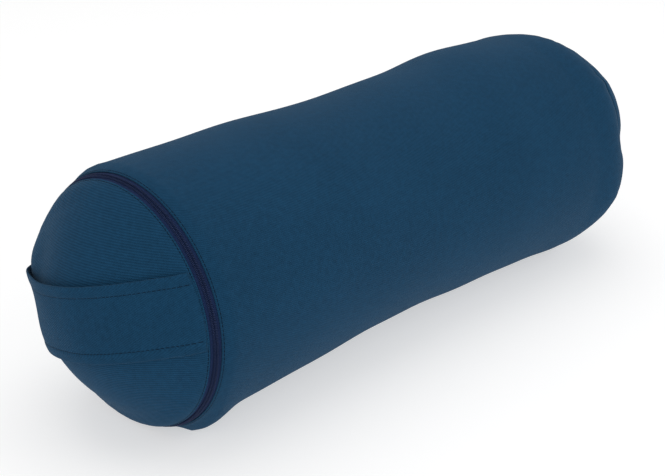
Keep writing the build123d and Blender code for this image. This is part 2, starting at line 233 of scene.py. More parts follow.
def outline(knots, inset=0.0, step=0.003):
    """Points along smooth curves through the knots, moved in along their normals, and the normals."""
    points, normals = [], []
    for one, two in zip(knots, knots[1:]):
        ends = []
        for x, radius, heading in (one, two):
            turn = radians(heading)
            ends.append(np.array((x + inset * sin(turn), radius - inset * cos(turn))))
        leave, arrive = (np.array((cos(radians(k[2])), sin(radians(k[2])))) for k in (one, two))
        reach = np.linalg.norm(ends[1] - ends[0]) / 3
        poles = (ends[0], ends[0] + reach * leave, ends[1] - reach * arrive, ends[1])
        count = max(2, ceil(3 * reach / step))
        for t in np.arange(count + (two is knots[-1])) / count:
            weights = ((1 - t) ** 3, 3 * t * (1 - t) ** 2, 3 * t * t * (1 - t), t**3)
            points.append(sum(w * p for w, p in zip(weights, poles)))
            slopes = ((1 - t) ** 2, 2 * t * (1 - t), t * t)
            along = sum(w * (b - a) for w, a, b in zip(slopes, poles, poles[1:]))
            normals.append(np.array((-along[1], along[0])) / np.linalg.norm(along))
    return np.array(points), np.array(normals)


def lathe(profile, angles):
    """The grid of points that a profile of (x, radius) sweeps, one column for each angle."""
    psi = np.radians(angles)[None, :]
    x, radius = profile[:, 0:1], profile[:, 1:2]
    across, up = -radius * np.sin(psi), AXIS_HEIGHT + radius * np.cos(psi)
    return np.stack((x + 0 * psi, across, up), axis=2)


def fold_over(outside, inside, normals, thick):
    """A closed profile: along the outside, round the last edge, back, and round the first."""
    turns = np.linspace(0, pi, 7)[1:-1, None]
    edges = []
    for end, side in ((-1, 1), (0, -1)):
        middle, normal = (outside[end] + inside[end]) / 2, side * normals[end]
        onward = np.array((normal[1], -normal[0]))
        edges.append(middle + thick / 2 * (np.cos(turns) * normal + np.sin(turns) * onward))
    return np.concatenate((outside, edges[0], inside[::-1], edges[1]))


def unit(vectors):
    return vectors / np.linalg.norm(vectors, axis=-1, keepdims=True)


def square_to(directions, vectors):
    """Unit vectors: what is left of vectors once their shares along unit directions are out."""
    return unit(vectors - (vectors * directions).sum(axis=1, keepdims=True) * directions)


def lengths_along(points):
    """How far along its line each point is."""
    return np.concatenate(((0,), np.cumsum(np.linalg.norm(np.diff(points, axis=0), axis=1))))


# ---------------------------------------------------------------- meshes


def grid_object(name, grid, weave, closed_rows=False, closed_columns=False, smooth=50.0):
    """A closed mesh from a grid of points. Open ends are capped. weave is the cloth's own
    coordinates for each point, in metres, with one column more where the columns close."""
    rows, columns = grid.shape[:2]
    row = np.arange(rows if closed_rows else rows - 1)[:, None]
    column = np.arange(columns if closed_columns else columns - 1)[None, :]
    corners = []
    for down, right in ((0, 0), (1, 0), (1, 1), (0, 1)):
        i, j = row + down + 0 * column, column + right + 0 * row
        corners.append(((i % rows) * columns + j % columns, weave[i % rows, j % weave.shape[1]]))
    quads = np.stack([c[0] for c in corners], axis=2).reshape(-1, 4)
    loops = np.stack([c[1] for c in corners], axis=2).reshape(-1, 2)
    faces, spare = quads.tolist(), []
    if closed_columns and not closed_rows:
        ends = [[(0, j) for j in range(columns)], [(rows - 1, j) for j in reversed(range(columns))]]
    elif closed_rows and not closed_columns:
        ends = [[(i, 0) for i in reversed(range(rows))], [(i, columns - 1) for i in range(rows)]]
    else:
        ends = []
    for end in ends:
        faces.append([i * columns + j for i, j in end])
        spare += [weave[i, j] for i, j in end]
    if spare:
        loops = np.concatenate((loops, spare))
    mesh = bpy.data.meshes.new(name)
    mesh.from_pydata(grid.reshape(-1, 3).tolist(), [], faces)
    mesh.uv_layers.new(name="weave").data.foreach_set("uv", loops.ravel())
    return add_object(name, mesh, smooth)


def add_object(name, mesh, smooth=50.0):
    """An object of a mesh, with its normals outward and edges sharp past the smooth angle."""
    mesh.validate()
    points = np.empty(len(mesh.vertices) * 3)
    mesh.vertices.foreach_get("co", points)
    mesh.calc_loop_triangles()
    index = np.empty(len(mesh.loop_triangles) * 3, dtype=np.int32)
    mesh.loop_triangles.foreach_get("vertices", index)
    a, b, c = np.moveaxis(points.reshape(-1, 3)[index.reshape(-1, 3)], 1, 0)
    if np.einsum("ij,ij->i", a, np.cross(b, c)).sum() < 0:
        mesh.flip_normals()
    mesh.shade_smooth()
    mesh.set_sharp_from_angle(angle=radians(smooth))
    return linked(name, mesh)


def linked(name, data):
    """A new object in the scene."""
    made = bpy.data.objects.new(name, data)
    bpy.context.scene.collection.objects.link(made)
    return made


def surface_weave(points, closed_columns):
    """Cloth coordinates measured along the rows and columns of a grid."""
    down = np.linalg.norm(np.diff(points, axis=0), axis=2).mean(axis=1)
    if closed_columns:
        points = np.concatenate((points, points[:, :1]), axis=1)
    right = np.linalg.norm(np.diff(points, axis=1), axis=2).mean(axis=0)
    u = np.concatenate(((0,), np.cumsum(down)))
    v = np.concatenate(((0,), np.cumsum(right)))
    return np.stack(np.meshgrid(u, v, indexing="ij"), axis=2)


def disc_weave(profile, angles):
    """Cloth coordinates for a round end cut from flat cloth."""
    length = lengths_along(profile)
    length = np.minimum(length, length[-1] - length)
    psi = np.radians(angles)[None, :]
    return np.stack((-length[:, None] * np.sin(psi), length[:, None] * np.cos(psi)), axis=2)


def piece(made, material, node):
    """Gives a made piece its material, and has it ride on the bolster in place of a CAD node."""
    wear(made, material)
    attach(made, "bolster")
    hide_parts(node)


def wear(made, material):
    """Gives a piece its only material."""
    made.data.materials.clear()
    made.data.materials.append(material)


# ---------------------------------------------------------------- how the stuffed cover settles


near_line, near_out = outline(near_dome())
body_line, body_out = outline(cover_body())
far_line, far_out = outline(far_dome())
COVER_LINE = np.concatenate((near_line, body_line, far_line))
COVER_OUT = np.concatenate((near_out, body_out, far_out))
COVER_AT = lengths_along(COVER_LINE)
ZIP_AT = COVER_AT[len(near_line) - 1] + BAND_HALF
FAR_AT = COVER_AT[len(near_line) + len(body_line) - 1]
LUMP_ANGLES = np.arange(0, 360, 2.0)


def smooth_steps(value, low, high):
    """0 below low, 1 above high, and a smooth rise in between."""
    share = np.clip((value - low) / (high - low), 0, 1)
    return share * share * (3 - 2 * share)


def ripples(low, high, count):
    """A seeded sum of waves round the bolster, between two numbers of waves to the turn."""
    psi = np.radians(LUMP_ANGLES)
    total = np.zeros_like(psi)
    for _ in range(count):
        strength = CHANCE.uniform(0.4, 1)
        total += strength * np.cos(CHANCE.integers(low, high) * psi + CHANCE.uniform(0, 2 * pi))
    return total / np.abs(total).max()


def lump_field(wave_length, low, high):
    """Soft lumps over the cover, from -1 to 1, one row for each place along the outline."""
    at = COVER_AT[:, None]
    total = np.zeros((len(COVER_AT), len(LUMP_ANGLES)))
    for _ in range(7):
        phase = CHANCE.uniform(0, 2 * pi)
        length = wave_length * CHANCE.uniform(0.7, 1.6)
        total += np.cos(2 * pi * at / length + phase) * ripples(low, high, 2)[None, :]
    return total / np.abs(total).max()


def simulate_stuffing(start_lumps):
    """Blows up a smaller form of the whole cover as cloth, held at its seams, and gives back how
    far it swelled at each place of the lump grid, less the mean at each place along it."""
    profile = COVER_LINE - SIM_INSET * COVER_OUT
    profile[:, 1] = np.maximum(profile[:, 1], MM)
    keep = np.linspace(0, len(profile) - 1, SIM_ROWS).astype(int)
    grid = lathe(profile[keep], LUMP_ANGLES[::3])
    grid += 0.5 * directions(keep, LUMP_ANGLES[::3]) * start_lumps[keep][:, ::3, None]
    form = grid_object("stuffing_form", grid, np.zeros(grid.shape[:2] + (2,)), closed_columns=True)
    remesh = form.modifiers.new("remesh", "REMESH")
    remesh.mode = "VOXEL"
    remesh.voxel_size = SIM_VOXEL
    remeshed = form.evaluated_get(bpy.context.evaluated_depsgraph_get())
    form.data = bpy.data.meshes.new_from_object(remeshed)
    form.modifiers.clear()
    start = vertex_array(form.data)
    held = form.vertex_groups.new(name="held")
    at = nearest_place(start)[0]
    at_seams = (np.abs(at - ZIP_AT) < SIM_HOLD) | (np.abs(at - FAR_AT) < SIM_HOLD)
    held.add(np.nonzero(at_seams)[0].tolist(), 1.0, "REPLACE")
    cloth = form.modifiers.new("cloth", "CLOTH")
    cloth.settings.quality = 5
    cloth.settings.use_pressure = True
    cloth.settings.uniform_pressure_force = 4.0
    cloth.settings.tension_stiffness = 40.0
    cloth.settings.compression_stiffness = 25.0
    cloth.settings.bending_stiffness = 1.5
    cloth.settings.vertex_group_mass = "held"
    cloth.settings.effector_weights.gravity = 0.0
    scene = bpy.context.scene
    for number in range(1, SIM_FRAMES + 1):
        scene.frame_set(number)
    swollen = form.evaluated_get(bpy.context.evaluated_depsgraph_get())
    end = vertex_array(swollen.to_mesh())
    swollen.to_mesh_clear()
    scene.frame_set(1)
    bpy.data.objects.remove(form)
    moved = end - start
    length = np.linalg.norm(moved, axis=1, keepdims=True)
    moved *= np.minimum(1, SIM_CAP / np.maximum(length, 1e-9))
    tree = KDTree(len(start))
    for index, point in enumerate(start):
        tree.insert(point, index)
    tree.balance()
    out = directions(range(len(COVER_AT)), LUMP_ANGLES)
    places = lathe(COVER_LINE - SIM_INSET * COVER_OUT, LUMP_ANGLES)
    swell = np.zeros(places.shape[:2])
    for i, j in np.ndindex(*swell.shape):
        near = tree.find_n(places[i, j], SIM_NEAREST)
        weights = np.array([1 / (distance + MM) for _, _, distance in near])
        rise = moved[[index for _, index, _ in near]] @ out[i, j]
        swell[i, j] = (rise * weights).sum() / weights.sum()
    return swell - swell.mean(axis=1, keepdims=True)


def vertex_array(mesh):
    points = np.empty(len(mesh.vertices) * 3)
    mesh.vertices.foreach_get("co", points)
    return points.reshape(-1, 3)


def directions(rows, angles):
    """Outward unit vectors of the cover at those rows of its outline and those angles."""
    psi = np.radians(angles)[None, :]
    out = COVER_OUT[list(rows)]
    x, radial = out[:, 0:1], out[:, 1:2]
    return np.stack((x + 0 * psi, -radial * np.sin(psi), radial * np.cos(psi)), axis=2)


def nearest_place(points):
    """Where along the cover's outline each point is, its angle, and the outward unit vector there."""
    radius = np.hypot(points[:, 1], points[:, 2] - AXIS_HEIGHT)
    psi = np.arctan2(-points[:, 1], points[:, 2] - AXIS_HEIGHT)
    at, out = np.empty(len(points)), np.empty((len(points), 2))
    for start in range(0, len(points), 20000):
        part = slice(start, start + 20000)
        flat = np.stack((points[part, 0], radius[part]), axis=1)
        gaps = ((flat[:, None, :] - COVER_LINE[None]) ** 2).sum(axis=2)
        best = np.clip(gaps.argmin(axis=1), 1, len(COVER_AT) - 2)
        before, after = COVER_LINE[best - 1], COVER_LINE[best + 1]
        span = after - before
        share = ((flat - before) * span).sum(axis=1) / (span**2).sum(axis=1)
        share = np.clip(share, 0, 1)
        at[part] = COVER_AT[best - 1] + share * (COVER_AT[best + 1] - COVER_AT[best - 1])
        mixed = COVER_OUT[best - 1] * (1 - share[:, None]) + COVER_OUT[best + 1] * share[:, None]
        out[part] = unit(mixed)
    outward = np.stack((out[:, 0], -out[:, 1] * np.sin(psi), out[:, 1] * np.cos(psi)), axis=1)
    return at, np.degrees(psi) % 360, outward


def make_lumps():
    """How far the cover stands out of its outline, on the grid of COVER_AT by LUMP_ANGLES."""
    broad = lump_field(*BROAD_LUMPS)
    fine = lump_field(*FINE_LUMPS)
    swell = BROAD_HEIGHT * broad + FINE_HEIGHT * fine
    simulated = simulate_stuffing(SIM_START[0] * broad + SIM_START[1] * fine)
    swell = swell + np.clip(simulated, -SIM_SHARE, SIM_SHARE)
    at = COVER_AT[:, None]
    from_zip, from_far = at - ZIP_AT, at - FAR_AT
    far_ripples = FAR_PUCKERS[0] * ripples(16, 44, 9) + FAR_PUCKERS[1] * ripples(5, 14, 4)
    puckers = np.exp(-np.abs(from_far) / PUCKER_REACH[0]) * far_ripples[None, :]
    puckers += np.exp(-np.abs(from_zip) / PUCKER_REACH[1]) * ZIP_PUCKERS * ripples(20, 52, 9)[None, :]
    for place, angle, long, wide, rise in SETTLED:
        turn = (LUMP_ANGLES[None, :] - angle + 180) % 360 - 180
        swell = swell + rise * np.exp(-(((at - place) / long) ** 2) - (turn / wide) ** 2)
    free = smooth_steps(np.abs(from_zip), *CLEAR_OF_ZIP)
    polar = smooth_steps(np.abs(COVER_LINE[:, 1:2]), *CLEAR_OF_POLE)
    return (swell + puckers) * free * polar


def under_side(x, y):
    """How low the cover's round outline reaches there, below the surface that it lies on."""
    radius = np.interp(x, body_line[:, 0], body_line[:, 1], left=0, right=0)
    return AXIS_HEIGHT - np.sqrt(np.maximum(radius**2 - y**2, 0))


def settle(grid):
    """Moves points of any shape as the stuffing and the surface under it move the cover."""
    points = grid.reshape(-1, 3).copy()
    at, angle, outward = nearest_place(points)
    column = angle / (LUMP_ANGLES[1] - LUMP_ANGLES[0])
    low = np.floor(column).astype(int)
    part = column - low
    low, high = low % len(LUMP_ANGLES), (low + 1) % len(LUMP_ANGLES)
    row = np.interp(at, COVER_AT, np.arange(len(COVER_AT)))
    first = np.clip(np.floor(row).astype(int), 0, len(COVER_AT) - 2)
    share = row - first
    above = LUMPS[first, low] * (1 - part) + LUMPS[first, high] * part
    below = LUMPS[first + 1, low] * (1 - part) + LUMPS[first + 1, high] * part
    swell = (above * (1 - share) + below * share)[:, None]
    points += outward * swell * smooth_steps(points[:, 2:], *CLEAR_OF_FLOOR)
    lowest = under_side(points[:, 0], points[:, 1])
    inside = np.abs(points[:, 2] - lowest) < FLAT_DEPTH
    lift = np.logaddexp(0, -lowest / FLAT_SOFT) * FLAT_SOFT
    fade = np.clip(1 - (points[:, 2] - lowest) / FLAT_DEPTH, 0, 1)
    points[:, 2] += np.where(inside, lift * fade, 0)
    return points.reshape(grid.shape)


LUMPS = make_lumps()


# ---------------------------------------------------------------- materials


def colour(red, green, blue):
    """A linear colour from its 0 to 255 values."""
    shares = (red / 255, green / 255, blue / 255)
    return tuple(c / 12.92 if c <= 0.04 else ((c + 0.055) / 1.055) ** 2.4 for c in shares) + (1,)


class Nodes:
    """Short calls for a material's node tree."""

    def __init__(self, name, base, roughness, **sockets):
        self.material = bpy.data.materials.new(name)
        self.material.use_nodes = True
        self.tree = self.material.node_tree
        self.shader = self.tree.nodes["Principled BSDF"]
        self.set(self.shader, **{"Base Color": base, "Roughness": roughness}, **sockets)

    def set(self, node, **sockets):
        for name, value in sockets.items():
            node.inputs[name.replace("_", " ")].default_value = value

    def add(self, kind, **sockets):
        node = self.tree.nodes.new("ShaderNode" + kind)
        self.set(node, **sockets)
        return node

    def link(self, output, socket):
        self.tree.links.new(output, socket)

    def cloth_place(self, turn=0.0):
        """The cloth's own coordinates, in metres, turned by that many degrees."""
        uv = self.add("UVMap")
        uv.uv_map = "weave"
        mapping = self.add("Mapping", Rotation=(0, 0, radians(turn)))
        self.link(uv.outputs["UV"], mapping.inputs["Vector"])
        return mapping.outputs["Vector"]

    def place(self):
        return self.add("TexCoord").outputs["Object"]

    def wave(self, place, pitch, distortion=0.0, detail_scale=1.0):
        wave = self.add("TexWave", Scale=0.1 * pi / pitch, Distortion=distortion, Detail=1.0)
        self.set(wave, Detail_Scale=detail_scale)
        self.link(place, wave.inputs["Vector"])
        return wave.outputs["Fac"]

    def noise(self, place, size, detail=2.0, roughness=0.5):
        noise = self.add("TexNoise", Scale=1 / size, Detail=detail, Roughness=roughness)
        self.link(place, noise.inputs["Vector"])
        return noise.outputs["Fac"]

    def maths(self, operation, one, two):
        node = self.add("Math")
        node.operation = operation
        self.feed(node.inputs[0], one)
        self.feed(node.inputs[1], two)
        return node.outputs["Value"]

    def feed(self, socket, value):
        """Sets a socket to a number or a colour, or links it to another node's output."""
        if isinstance(value, (int, float, tuple)):
            socket.default_value = value
        else:
            self.link(value, socket)

    def sum(self, *terms):
        """The sum of (output, factor) pairs, each taken about its middle of 0.5."""
        total = 0.0
        for output, factor in terms:
            centred = self.maths("SUBTRACT", output, 0.5)
            total = self.maths("ADD", self.maths("MULTIPLY", centred, factor), total)
        return total

    def shade(self, fac, base, low, high):
        """Base colour times low to high as fac goes from 0 to 1."""
        ramp = self.add("ValToRGB")
        for stop, factor in zip(ramp.color_ramp.elements, (low, high)):
            stop.color = tuple(min(1.0, c * factor) for c in base[:3]) + (1,)
        self.link(self.maths("ADD", fac, 0.5), ramp.inputs["Fac"])
        return ramp.outputs["Color"]

    def paint(self, output):
        self.link(output, self.shader.inputs["Base Color"])

    def mix(self, fac, one, two):
        node = self.add("Mix")
        node.data_type = "RGBA"
        self.link(fac, node.inputs[0])
        self.feed(node.inputs[6], one)
        self.feed(node.inputs[7], two)
        return node.outputs[2]

    def bump(self, height, distance, strength=1.0):
        bump = self.add("Bump", Strength=strength, Distance=distance)
        self.link(height, bump.inputs["Height"])
        self.link(bump.outputs["Normal"], self.shader.inputs["Normal"])

    def rough(self, fac, low, high):
        spread = self.maths("MULTIPLY", self.maths("ADD", fac, 0.5), high - low)
        self.link(self.maths("ADD", spread, low), self.shader.inputs["Roughness"])


def twill_material(name, base, turn, rib=0.0015, depth=0.34):
    """Dyed cotton twill: diagonal ribs crossed by finer yarns, mottled dye, and rare pale lint."""
    m = Nodes(name, base, 0.88, Sheen_Weight=0.1, Sheen_Roughness=0.4, Specular_IOR_Level=0.06)
    m.set(m.shader, Sheen_Tint=(0.6, 0.8, 1.0, 1))
    ribs = m.wave(m.cloth_place(turn), rib, 1.2, 0.8)
    yarns = m.wave(m.cloth_place(turn + 62), rib * 0.55, 0.8, 1.5)
    fuzz = m.noise(m.place(), 0.0007, 3.0, 0.6)
    blotches = m.noise(m.place(), 0.0045, 3.0, 0.6)
    broad = m.noise(m.place(), 0.09, 2.0, 0.4)
    tone = m.sum((ribs, depth), (yarns, 0.12), (fuzz, 0.5), (blotches, 0.7), (broad, 0.3))
    shade = m.shade(tone, base, 0.64, 1.38)
    specks = m.add("TexVoronoi", Scale=17.0, Randomness=1.0)
    m.link(m.place(), specks.inputs["Vector"])
    lint = m.maths("LESS_THAN", specks.outputs["Distance"], 0.008)
    m.paint(m.mix(lint, shade, colour(120, 140, 155)))
    m.bump(m.sum((ribs, 0.6), (yarns, 0.3), (fuzz, 0.5)), 0.00035, 0.8)
    m.rough(m.sum((fuzz, 0.8), (blotches, 0.5)), 0.8, 0.98)
    return m.material


def tape_material(name, base):
    """Woven zip tape: fine cords along it, crossed by the weft."""
    m = Nodes(name, base, 0.8, Sheen_Weight=0.03, Sheen_Roughness=0.5, Specular_IOR_Level=0.08)
    cords = m.wave(m.cloth_place(0), 0.0009)
    weft = m.wave(m.cloth_place(90), 0.0006, 0.5)
    fuzz = m.noise(m.place(), 0.0008, 3.0, 0.6)
    broad = m.noise(m.place(), 0.02, 2.0, 0.5)
    m.paint(m.shade(m.sum((cords, 0.35), (weft, 0.25), (fuzz, 0.4), (broad, 0.4)), base, 0.55, 1.5))
    m.bump(m.sum((cords, 0.7), (weft, 0.5)), 0.0003, 0.8)
    m.rough(m.sum((fuzz, 1.0)), 0.7, 0.92)
    return m.material


def thread_material(name, base):
    """Spun polyester thread, twisted."""
    m = Nodes(name, base, 0.7, Sheen_Weight=0.02, Sheen_Roughness=0.4, Specular_IOR_Level=0.08)
    twist = m.wave(m.cloth_place(35), 0.0005)
    fuzz = m.noise(m.place(), 0.0006, 2.0, 0.6)
    m.paint(m.shade(m.sum((twist, 0.4), (fuzz, 0.5)), base, 0.6, 1.5))
    m.bump(m.sum((twist, 0.8), (fuzz, 0.4)), 0.0001, 0.7)
    m.rough(m.sum((fuzz, 1.0)), 0.5, 0.75)
    return m.material


def plastic_material(name, base, roughness):
    """Nylon coil or moulded stop, slightly rubbed."""
    m = Nodes(name, base, roughness, Specular_IOR_Level=0.2)
    rub = m.noise(m.place(), 0.003, 3.0, 0.6)
    grain = m.noise(m.place(), 0.0005, 2.0, 0.6)
    m.paint(m.shade(m.sum((rub, 0.6), (grain, 0.2)), base, 0.7, 1.5))
    m.bump(m.sum((grain, 1.0)), 0.00005, 0.4)
    m.rough(m.sum((rub, 1.0)), roughness - 0.08, roughness + 0.12)
    return m.material


def metal_material(name, base):
    """Enamelled zinc, with a faint orange-peel and small worn patches of bare metal."""
    m = Nodes(name, base, 0.34, Metallic=0.35, Coat_Weight=0.4, Coat_Roughness=0.2)
    peel = m.noise(m.place(), 0.0012, 2.0, 0.5)
    scuffs = m.noise(m.place(), 0.0022, 5.0, 0.75)
    worn = m.maths("GREATER_THAN", scuffs, 0.66)
    m.paint(m.mix(worn, m.shade(m.sum((peel, 0.5)), base, 0.75, 1.35), colour(120, 122, 128)))
    m.bump(m.sum((peel, 0.6), (scuffs, 0.3)), 0.00006, 0.5)
    m.rough(m.sum((scuffs, 1.0)), 0.25, 0.5)
    return m.material


def cotton_material(name, base, pitch):
    """Plain weave: warp and weft of the same yarn."""
    m = Nodes(name, base, 0.9, Sheen_Weight=0.2, Sheen_Roughness=0.5)
    warp = m.wave(m.cloth_place(0), pitch, 0.6)
    weft = m.wave(m.cloth_place(90), pitch, 0.6)
    fuzz = m.noise(m.place(), 0.0012, 3.0, 0.6)
    broad = m.noise(m.place(), 0.05, 2.0, 0.5)
    m.paint(m.shade(m.sum((warp, 0.2), (weft, 0.2), (fuzz, 0.4), (broad, 0.4)), base, 0.8, 1.15))
    m.bump(m.sum((warp, 0.6), (weft, 0.6), (fuzz, 0.3)), 0.0003, 0.7)
    m.rough(m.sum((fuzz, 1.0)), 0.8, 0.97)
    return m.material


def hull_material(name, base):
    """Loose buckwheat hulls: small, dark, angular husks, with painted shade in the gaps between them."""
    m = Nodes(name, base, 0.6)
    husks = m.add("TexVoronoi", Scale=190.0, Randomness=1.0)
    m.link(m.place(), husks.inputs["Vector"])
    tone = m.noise(husks.outputs["Position"], 0.004, 0.0)
    # painted shade: each husk darkens towards its edge, where the gaps between husks sink
    m.paint(m.shade(m.sum((tone, 1.2), (husks.outputs["Distance"], -0.5)), base, 0.5, 1.7))
    m.bump(m.maths("MULTIPLY", husks.outputs["Distance"], -1.0), 0.002, 1.0)
    m.rough(m.sum((tone, 1.0)), 0.45, 0.75)
    return m.material


CLOTH = colour(24, 64, 93)
TAPE_BLUE = colour(33, 50, 88)
TWILL_BODY = twill_material("twill_body", CLOTH, 58)
TWILL_END = twill_material("twill_end", CLOTH, 94, 0.0022, 0.44)
TWILL_STRAP = twill_material("twill_strap", CLOTH, 61)
TAPE_CLOTH = tape_material("zip_tape_cloth", TAPE_BLUE)
COIL_NYLON = plastic_material("zip_coil_nylon", colour(33, 46, 80), 0.55)
THREAD = thread_material("thread", colour(7, 20, 36))
ENAMEL = metal_material("zip_enamel", colour(34, 38, 68))
BAG_COTTON = cotton_material("bag_cotton", colour(214, 206, 188), 0.0008)
BAG_TAPE = tape_material("bag_zip_tape", colour(205, 200, 188))
BAG_NYLON = plastic_material("bag_zip_nylon", colour(190, 186, 176), 0.4)
BAG_ENAMEL = metal_material("bag_zip_enamel", colour(170, 168, 162))
SATIN = cotton_material("label_satin", colour(232, 232, 228), 0.0004)
HULLS = hull_material("buckwheat_hulls", colour(74, 52, 38))


# ---------------------------------------------------------------- cover

FULL_TURN = np.arange(LENGTH_SEAM_ANGLE, LENGTH_SEAM_ANGLE + 360, 1.0)


def hem_relief(points, normals, side):
    """The row of hem stitches pulls the folded cloth down, and the fold's own end shows as a step.
    side is 1 for the body, -1 for the handle end, and 0 where there is no hem."""
    if side == 0:
        return points
    lean = radians(ZIP_TILT)
    across = side * ((points[:, 0] - NEAR_SEAM_X) * cos(lean) + (points[:, 1] - ZIP_RADIUS) * sin(lean))
    groove = -GROOVE_DEEP * np.exp(-(((across - BAND_HALF - HEM_STITCH) / GROOVE_WIDE) ** 2))
    past_hem = across - BAND_HALF - HEM_LENGTH
    fold = FOLD_HIGH * (1 - smooth_steps(past_hem, 0, FOLD_FADE))
    return points + normals * (groove + fold)[:, None]


def tube_piece(name, knots, inset, cloth, step, angles, hem=0):
    """A tube of cloth with rounded edges."""
    outside, normals = outline(knots, inset, step)
    inside, _ = outline(knots, inset + cloth, 2 * step)
    outside = hem_relief(outside, normals, hem)
    ideal = lathe(fold_over(outside, inside, normals, cloth), angles)
    weave = surface_weave(ideal, True)
    return grid_object(name, settle(ideal), weave, closed_rows=True, closed_columns=True)


def end_piece(name, knots, inset, cloth, step, rim_last=False, hem=0):
    """A round end of cloth. Its profile runs from the middle of one side to that of the other."""
    outside, normals = outline(knots, inset, step)
    inside, _ = outline(knots, inset + cloth, 2 * step)
    outside = hem_relief(outside, normals, hem)
    if not rim_last:
        outside, inside = outside[::-1], inside[::-1]
    profile = np.concatenate((outside, inside[::-1]))
    angles = np.arange(0, 360, 1.0)
    return grid_object(name, settle(lathe(profile, angles)), disc_weave(profile, angles), closed_columns=True)


cover = tube_piece("cover_body", cover_body(), 0, TWILL, 0.0022, FULL_TURN, hem=1)
piece(cover, TWILL_BODY, "cover_body_panel")

handle_end = end_piece("cover_handle_end", near_dome(), 0, TWILL, 0.0018, rim_last=True, hem=-1)
piece(handle_end, TWILL_END, "cover_handle_end_panel")

far_end = end_piece("cover_far_end", far_dome(), 0, TWILL, 0.002)
piece(far_end, TWILL_END, "cover_far_end_panel")


# ---------------------------------------------------------------- rows of stitches


def stitch_row(name, path, length, stitch=0.0028, gap=0.0007, thick=0.00023):
    """Separate stitches along a path. path(t) gives points and outward vectors for t from 0 to 1."""
    count, rings, sides = int(length / (stitch + gap)), 7, 6
    along = np.linspace(0, 1, rings)
    starts = np.arange(count) / count
    t = (starts[:, None] + along[None, :] * stitch / (stitch + gap) / count).ravel()
    points, outward = path(t)
    ahead, _ = path(t + 1e-4)
    sideways = np.cross(unit(ahead - points), outward)
    arch = np.tile(np.sin(pi * along) ** 0.6, count)[:, None]
    centre = points + outward * (0.9 * arch - 0.55) * thick
    around = np.arange(sides) * 2 * pi / sides
    ring = [centre + thick * (np.cos(a) * sideways + 0.8 * np.sin(a) * outward) for a in around]
    tubes = settle(np.stack(ring, axis=1)).reshape(-1, 3)
    u, v = along * stitch, np.arange(sides + 1) * thick
    quads, loops = [], []
    for i, j in np.ndindex(rings - 1, sides):
        corners = ((i, j), (i, j + 1), (i + 1, j + 1), (i + 1, j))
        quads.append([a * sides + b % sides for a, b in corners])
        loops += [(u[a], v[b]) for a, b in corners]
    ends = [list(reversed(range(sides))), list(range((rings - 1) * sides, rings * sides))]
    loops += [(0, v[j]) for j in range(sides)] * 2
    firsts = range(0, count * rings * sides, rings * sides)
    faces = [[first + corner for corner in face] for first in firsts for face in quads + ends]
    mesh = bpy.data.meshes.new(name)
    mesh.from_pydata(tubes.tolist(), [], faces)
    mesh.uv_layers.new(name="weave").data.foreach_set("uv", np.array(loops * count).ravel())
    return add_object(name, mesh)


def ring_path(x, radius, out):
    """Round the bolster. out is the outward (x, radial) direction."""

    def path(t):
        psi = 2 * pi * t
        radial = np.stack((0 * psi, -np.sin(psi), np.cos(psi)), axis=1)
        return AXIS_PLACE + x * AXIS_WAY + radius * radial, out[0] * AXIS_WAY + out[1] * radial

    return path


def seam_path(t):
    """Along the lengthwise seam."""
    length = lengths_along(body_line)
    at = SEAM_START + t * (length[-1] - SEAM_START - SEAM_END)
    psi = radians(LENGTH_SEAM_ANGLE)
    radial = np.array((0, -sin(psi), cos(psi)))
    x, radius = np.interp(at, length, body_line[:, 0]), np.interp(at, length, body_line[:, 1])
    points = AXIS_PLACE + x[:, None] * AXIS_WAY + radius[:, None] * radial
    outward = np.stack([np.interp(at, length, body_out[:, k]) for k in (0, 1)], axis=1)
    return points, outward[:, 0:1] * AXIS_WAY + outward[:, 1:2] * radial


LEAN_OUT = (-sin(radians(ZIP_TILT)), cos(radians(ZIP_TILT)))
for name, side in (("body_side", 1), ("end_side", -1)):
    x, radius, _ = band_knot(side * (BAND_HALF + HEM_STITCH))
    row = stitch_row("hem_stitches_" + name, ring_path(x, radius, LEAN_OUT), 2 * pi * radius)
    piece(row, THREAD, "hem_stitching_" + name)

far_path = ring_path(FAR_SEAM_X, FAR_RIM_RADIUS, FAR_STITCH_OUT)
far_row = stitch_row("far_seam_stitches", far_path, 2 * pi * FAR_RIM_RADIUS)
piece(far_row, THREAD, "far_seam_stitching")
long_row = stitch_row("lengthwise_stitches", seam_path, FAR_SEAM_X - NEAR_SEAM_X)
piece(long_row, THREAD, "lengthwise_stitching")


# ---------------------------------------------------------------- carry handle


def near_dome_x(radius):
    return NEAR_BASE[0] - NEAR_DOME * (1 - (radius / NEAR_BASE[1]) ** 2)


def strap_floor(along, across):
    """How far out the strap's inner side is, at places on the near end."""
    follow = STRAP_FOLLOW + (1 - STRAP_FOLLOW) * (along / ZIP_RADIUS) ** 2
    radius = np.hypot(along, follow * across)
    share = np.clip((radius - STRAP_TURN_RADIUS) / (NEAR_BASE[1] - STRAP_TURN_RADIUS), 0, 1)
    turn_x = near_dome_x(STRAP_TURN_RADIUS)
    turned = turn_x + (NEAR_BASE[0] - turn_x) * share - 4 * STRAP_BULGE * share * (1 - share)
    x = np.where(radius < STRAP_TURN_RADIUS, near_dome_x(radius), turned)
    x += np.maximum(radius - NEAR_BASE[1], 0) / tan(radians(ZIP_TILT))
    slack = STRAP_SLACK * np.exp(-(((along - SLACK_AT) / SLACK_SPREAD) ** 2))
    return x - STRAP_CLEAR - slack * (1 + SLACK_UPWARD * across / STRAP_HALF)


def strap_place(along, across, lift):
    """Points on the strap, lift out from its inner side."""
    roll = radians(STRAP_ROLL)
    along_dir, across_dir = np.array((0, -cos(roll), sin(roll))), np.array((0, sin(roll), cos(roll)))
    x = strap_floor(along, across) - lift
    flat = along[..., None] * along_dir + across[..., None] * across_dir
    return AXIS_PLACE + x[..., None] * AXIS_WAY + flat


